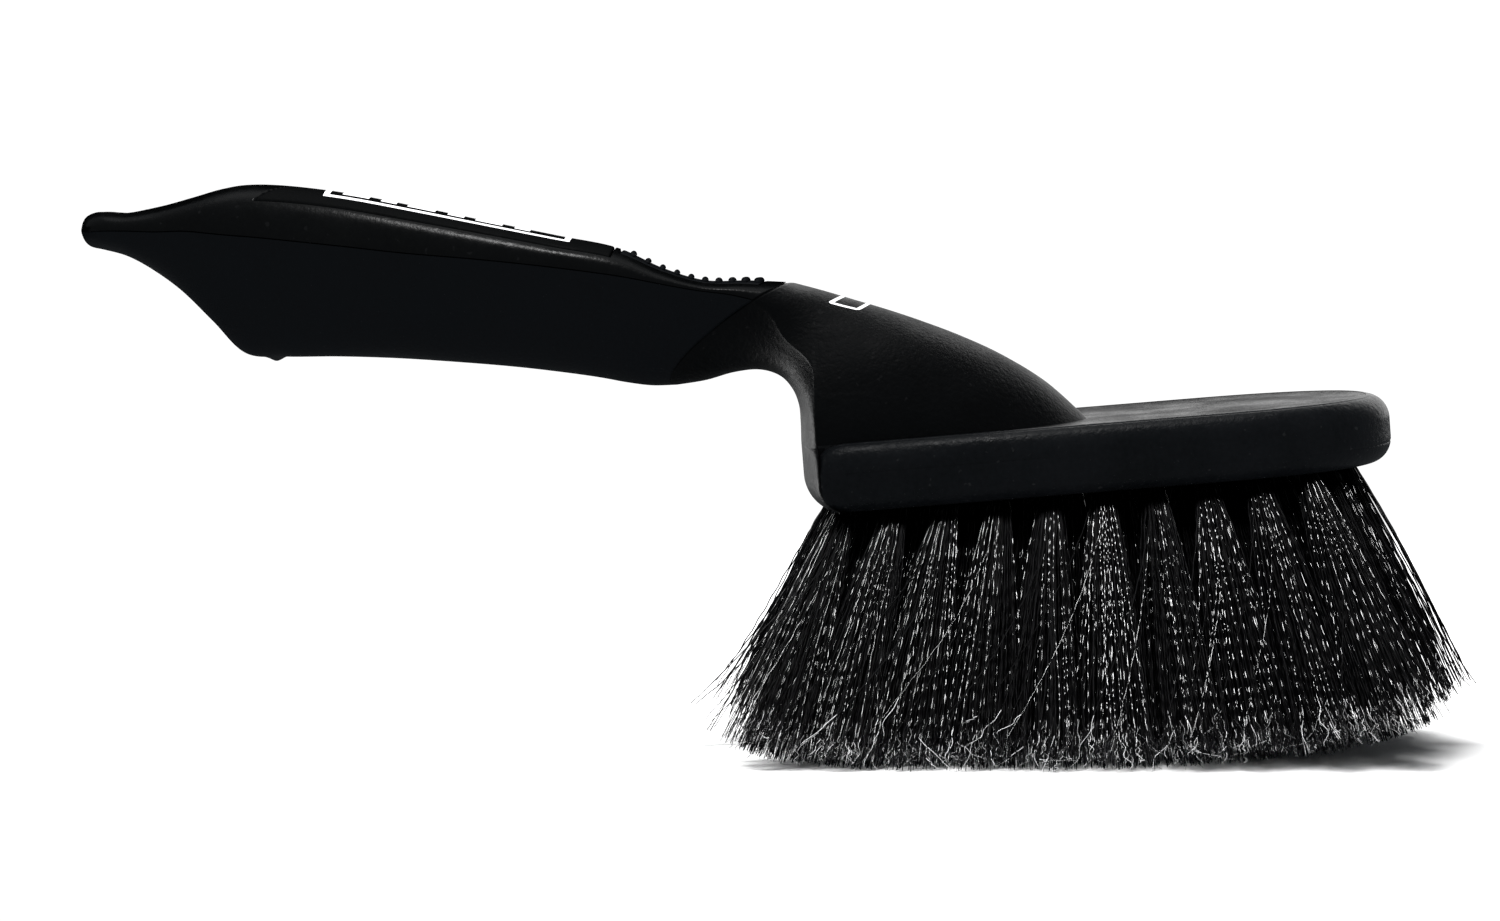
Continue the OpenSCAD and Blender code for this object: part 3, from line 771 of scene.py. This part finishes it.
# ---------------------------------------------------------------- bristles
def tubes(line, radius, sides=3):
    """Closed tubes along lines shaped (strands, steps, 3), with a radius for each step."""
    n, steps = line.shape[:2]
    tangent = np.gradient(line, axis=1)
    tangent /= np.linalg.norm(tangent, axis=2, keepdims=True)
    turn = np.linspace(0, 7, n)
    ref = np.stack([np.cos(turn), np.sin(turn), 0 * turn], -1)[:, None, :]
    u = np.cross(tangent, ref)
    u /= np.linalg.norm(u, axis=2, keepdims=True)
    v = np.cross(tangent, u)
    a = np.arange(sides) * 2 * math.pi / sides
    ring = u[:, :, None, :] * np.cos(a)[:, None] + v[:, :, None, :] * np.sin(a)[:, None]
    points = (line[:, :, None, :] + ring * radius[..., None, None]).reshape(-1, 3)
    start = (np.arange(n) * steps * sides)[:, None, None]
    faces = (grid(steps, sides)[None] + start).reshape(-1, 4)
    cap = np.arange(sides)[None, :]
    caps = [(cap[:, ::-1] + start[:, 0]), cap + start[:, 0] + (steps - 1) * sides]
    return points, [faces, *caps]


def tuft_axes(x, y):
    """Direction of a tuft, two directions across it, and its lean sideways."""
    lean_x = math.radians(-FLARE_REAR + (FLARE_REAR + FLARE_FRONT) * (x - FIRST_X) / TUFT_SPAN)
    lean_y = math.radians(FLARE_SIDE * y / OUTER_Y)
    cx, cy = math.cos(lean_x), math.cos(lean_y)
    d = np.array([cy * math.sin(lean_x), math.sin(lean_y), -cx * cy])
    e1 = np.cross([0, 1, 0], d)
    e1 /= np.linalg.norm(e1)
    return d, e1, np.cross(d, e1), lean_y


def tuft(rng, x, y, count, steps=44):
    """Centrelines of one tuft: they leave the hole together, spread, crimp and end in an uneven cut."""
    d, e1, e2, lean_y = tuft_axes(x, y)
    rho = np.sqrt(rng.random(count))
    theta = rng.random(count) * 2 * math.pi
    ragged = 0.9 * rng.random(count) ** 2.0
    # the tufts near both ends are a little shorter
    longest = 58.4 - 3.4 * smoothstep((x - 96) / 22) - 5 * smoothstep((30 - x) / 23)
    reach = longest / math.cos(lean_y) * (1 - 0.02 * rng.random(count) ** 1.5)
    # where each strand ends, sideways of the tuft's axis
    spread = SPREAD * (0.85 + 0.3 * rng.random(count))
    end = rho[:, None] * np.stack([np.cos(theta), np.sin(theta)], -1) * spread[:, None]
    stray = (rng.random(count) < 0.05)[:, None] * rng.normal(0, 1, (count, 2)) * (5.0, 3.0)
    if y < -15:
        # a few strands of the nearest row cross the others
        crossing = rng.random(count) < 0.012
        end[crossing, 1] = -8.5
        stray[crossing, 0] = rng.uniform(12, 32, crossing.sum())
    if x < 10 or x > 110:
        # loose strands stand out at both ends of the head
        loose = rng.random(count) < 0.05
        stray[loose, 0] = rng.uniform(4, 10, loose.sum()) * (1 if x > 110 else -1) * np.sign(e1[0])
    # strands end at the cut, which is level in front and bent up behind, or at their reach
    direction = d * STRAND_LEN + e1 * (end[:, :1] + stray[:, :1]) + e2 * (end[:, 1:] + stray[:, 1:])
    across, _, fall = direction.T
    level = (FACE_Z - ragged) / -fall
    bent = (FACE_Z - ragged - LEAN * (LEAN_X - x)) / (-fall - LEAN * across)
    reach = reach * STRAND_LEN / np.linalg.norm(direction, axis=1)
    length = np.minimum(STRAND_LEN * np.minimum(level, bent), reach)
    s = np.linspace(0, 1, steps)[None, :] * (length + ROOT)[:, None] - ROOT
    f = np.clip(s / STRAND_LEN, 0, 1.2)
    # the tuft opens fast below the block, then evenly
    fast = 22
    opening = (1 - np.exp(-np.clip(s, 0, None) / fast)) / (1 - math.exp(-STRAND_LEN / fast))
    opened = 0.45 * opening + 0.55 * f
    at_hole = HOLE_R * rho[:, None] * np.stack([np.cos(theta), np.sin(theta)], -1)
    # waves of about 6 mm are in the shape; each strand has its own height, length, start and direction
    crimp = 0.10 * (0.6 + 0.8 * rng.random((count, 1))) * smoothstep((s + 0.5) / 5)
    wave = 2 * math.pi * s / (5.6 + 0.9 * rng.random((count, 1))) + rng.normal(0, 1.1, (count, 1)) + x
    swing = rng.random((count, 1)) * math.pi + 0.02 * s * rng.normal(0, 1, (count, 1))
    drift = 2 * math.pi * s / (34 + 30 * rng.random((count, 1)))
    line = np.array([x, y, 0]) + d * s[..., None]
    for k, axis, part in ((0, e1, np.cos(swing)), (1, e2, np.sin(swing))):
        slow = 0.45 * rng.normal(0, 1, (count, 1)) * np.sin(drift + 6.3 * rng.random((count, 1)))
        side = at_hole[:, k:k + 1] * (1 - opened) + end[:, k:k + 1] * opened + stray[:, k:k + 1] * f ** 1.5
        side = side + slow * np.clip(f, 0, 1) + crimp * np.sin(wave) * part
        line = line + axis * side[..., None]
    line[..., 2] = np.maximum(line[..., 2], 0.25 - FACE_Z)
    return line


def feathers(rng, line, share, steps=14):
    """Fine curly fibres that split from the last centimetre of some strands."""
    chosen = line[rng.random(len(line)) < share]
    n = len(chosen)
    f = np.linspace(0, 1, steps)[None, :]
    at = (line.shape[1] - 1) - (1.2 + 7.0 * rng.random((n, 1)) ** 1.2) * (1 - f)
    i = np.minimum(at.astype(int), line.shape[1] - 2)
    base, ahead = (np.take_along_axis(chosen, (i + k)[..., None], axis=1) for k in (0, 1))
    base = base + (ahead - base) * (at - i)[..., None]
    wild = 1 + 2.2 * (rng.random((n, 1, 1)) < 0.22)
    out = np.clip(rng.normal(0, 1, (n, 2, 1)), -2, 2) * 1.2 * wild * f[:, None, :] ** 1.2
    out[:, 1] *= 0.7
    curl = 0.9 * f ** 0.7 * np.sin(2 * math.pi * (f * (1.0 + 1.6 * rng.random((n, 1))) + rng.random((n, 1))))
    turn = rng.random((n, 1)) * 2 * math.pi
    base[..., 0] += out[:, 0] + curl * np.cos(turn)
    base[..., 1] += out[:, 1] + 0.6 * curl * np.sin(turn)
    base[..., 2] = np.maximum(base[..., 2] + (2.5 * rng.random((n, 1)) - 0.6) * f, 0.15 - FACE_Z)
    return base


def bristle_group(rng, strands, outer):
    """Dull strands, shiny strands and split fibres, and a material index for each of their face arrays."""
    f = np.linspace(0, 1, strands.shape[1])[None, :]
    thin_end = 1 - 0.35 * smoothstep((f - 0.75) / 0.25)
    radius = (0.135 + 0.045 * rng.random((len(strands), 1))) * thin_end
    shiny = rng.random(len(strands)) < 0.28
    fine = feathers(rng, strands, 0.95 if outer else 0.3)
    fine_radius = 0.06 * (1 - 0.5 * np.linspace(0, 1, fine.shape[1])) + np.zeros((len(fine), 1))
    parts = [tubes(strands[chosen], radius[chosen]) for chosen in (~shiny, shiny)]
    parts.append(tubes(fine, fine_radius))
    return joined(parts), [k for k, (_, faces) in enumerate(parts) for _ in faces]


def bristles():
    for r, (y, tufts, first) in enumerate(ROWS):
        rng = np.random.default_rng(100 + r)
        outer = abs(y) > 15
        count = STRANDS[abs(y)]
        for g, members in enumerate(np.array_split(np.arange(tufts), 4 if outer else 3)):
            strands = np.concatenate([tuft(rng, first + i * TUFT_PITCH, y, count) for i in members])
            solids, indices = bristle_group(rng, strands, outer)
            obj = build(f"bristles_row_{r + 1}_{'abcd'[g]}", solids, [nylon, nylon_shiny, nylon_tip],
                        crease=0, body=None, indices=indices)
            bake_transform(obj)
            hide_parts(f"tufts_row_{r + 1}", f"tuft_roots_row_{r + 1}")


grip_shells()
grip_details()
neck()
heel()
bumper()
deck()
bristles()


# ---------------------------------------------------------------- studio
def plane(name, corners, m):
    mesh = bpy.data.meshes.new(name)
    mesh.from_pydata(corners, [], [list(range(len(corners)))])
    mesh.materials.append(m)
    obj = added(name, mesh)
    return obj


def glow(name, strength):
    m = bpy.data.materials.new(name)
    m.use_nodes = True
    tree = m.node_tree
    tree.nodes.clear()
    out, emit = tree.nodes.new("ShaderNodeOutputMaterial"), tree.nodes.new("ShaderNodeEmission")
    emit.inputs["Strength"].default_value = strength
    emit.inputs["Color"].default_value = (1, 1, 1, 1)
    tree.links.new(emit.outputs[0], out.inputs["Surface"])
    return m


def room():
    """White all round, seen by the camera only, so that it lights nothing."""
    n, radius, low, high = 64, 6.0, -0.6, 6.0
    turns = [2 * math.pi * k / n for k in range(n)]
    points = [(radius * math.cos(a), radius * math.sin(a), z) for z in (low, high) for a in turns]
    faces = [[k, (k + 1) % n, n + (k + 1) % n, n + k] for k in range(n)]
    faces += [list(range(n)), list(range(n, 2 * n))]
    mesh = bpy.data.meshes.new("room")
    mesh.from_pydata(points, [], faces)
    mesh.materials.append(glow("room_white", 1.06))
    obj = added("room", mesh)
    for kind in ("diffuse", "glossy", "transmission", "volume_scatter", "shadow"):
        setattr(obj, "visible_" + kind, False)


def area(name, location, aim, size, size_y, watts):
    data = bpy.data.lights.new(name, "AREA")
    data.energy, data.shape, data.size, data.size_y = watts, "RECTANGLE", size, size_y
    obj = added(name, data)
    obj.location = location
    obj.rotation_euler = (Vector(aim) - Vector(location)).to_track_quat("-Z", "Y").to_euler()
    return obj


def lights_only(lamp, name, starts):
    """Lets a lamp light nothing but the objects whose names start so."""
    chosen = bpy.data.collections.new(name)
    for obj in bpy.context.scene.objects:
        if obj.name.startswith(starts):
            chosen.objects.link(obj)
    lamp.light_linking.receiver_collection = chosen


def backdrop():
    """White panels behind and beside the brush, which show only as light on it."""
    back_y, rear_x, front_x, top = 1.3, -4.0, 1.6, 1.3
    corners = [(rear_x, back_y, 0), (rear_x, back_y, top), (front_x, back_y, top), (front_x, back_y, 0)]
    back = plane("backdrop", corners, glow("backdrop_white", 1.05))
    back.visible_camera = False
    lights_only(back, "lit_from_behind", ("neck", "heel", "bumper", "deck", "bristles"))
    side_x, near_y, low, high = -1.2, -0.1, -0.5, 0.6
    corners = [(side_x, near_y, low), (side_x, back_y, low), (side_x, back_y, high), (side_x, near_y, high)]
    side = plane("side_panel", corners, glow("side_white", 4.0))
    side.visible_camera = side.visible_diffuse = side.visible_shadow = False
    lights_only(side, "lit_from_the_rear", ("neck", "heel"))


def floor():
    """Small white table that touches the bent rear bristles and leans down to the front."""
    m, tree, shader = nodes_of("floor_white")
    tone = tinted(tree, noise(tree, 3, 2), (0.93, 0.93, 0.93), (0.95, 0.95, 0.95))
    tree.links.new(tone, shader.inputs["Base Color"])
    shader.inputs["Roughness"].default_value = 0.9
    shader.inputs["Specular IOR Level"].default_value = 0.1
    level_x = (LEAN_X + HEAD_X) / 1000
    rear, front = ((x, LEAN * (level_x - x) - 0.0002) for x in (-0.09, 0.4))
    near_y, far_y = -0.27, 0.5
    corners = [(x, near_y, z) for x, z in (rear, front)] + [(x, far_y, z) for x, z in (front, rear)]
    obj = plane("floor", corners, m)
    # the flanks of the brush don't see it, so they stay dark
    obj.visible_glossy = obj.visible_diffuse = False


def lamps():
    lamp = area("floor_lamp", (-0.25, 0.1, 1.6), (0.05, 0.1, 0), size=0.9, size_y=0.7, watts=66)
    lights_only(lamp, "whites", ("floor", "printed"))
    area("key", (0.072, -0.03, 0.77), (0.02, 0, 0.08), size=0.03, size_y=0.03, watts=0.3)
    area("top_box", (0.05, 0.3, 0.8), (0, 0, 0.1), size=0.7, size_y=0.3, watts=0.12)
    # long strips in front and behind draw the bright dashes on the filaments
    for name, y, watts in (("bristle_lamp", -0.85, 46), ("bristle_lamp_back", 0.85, 16)):
        strip = area(name, (0.06, y, 0.75), (0.065, 0, 0.03), size=1.6, size_y=0.2, watts=watts)
        lights_only(strip, name + "_filaments", ("bristles",))


def world():
    scene = bpy.context.scene
    scene.view_settings.view_transform = "Standard"
    scene.world = bpy.data.worlds.new("studio")
    scene.world.use_nodes = True
    background = scene.world.node_tree.nodes["Background"]
    background.inputs["Color"].default_value = (0.9, 0.95, 1, 1)
    background.inputs["Strength"].default_value = 0.09


def camera():
    data = bpy.data.cameras.new("camera")
    data.sensor_width, data.sensor_fit, data.lens = 36, "HORIZONTAL", 89.0
    data.clip_start, data.clip_end = 0.05, 30
    obj = added("camera", data)
    pitch, roll, distance = math.radians(4.1), math.radians(4.65), 0.8
    target = Vector(((HEAD_X - 10.6) / 1000, 0, 0.0685))
    look = Vector((0, math.cos(pitch), -math.sin(pitch)))
    up = Vector((0, math.sin(pitch), math.cos(pitch)))
    basis = Matrix((Vector((1, 0, 0)), up, -look)).transposed().to_4x4()
    obj.matrix_world = Matrix.Translation(target - look * distance) @ basis @ Matrix.Rotation(-roll, 4, "Z")
    bpy.context.scene.camera = obj


world()
room()
floor()
backdrop()
lamps()
camera()
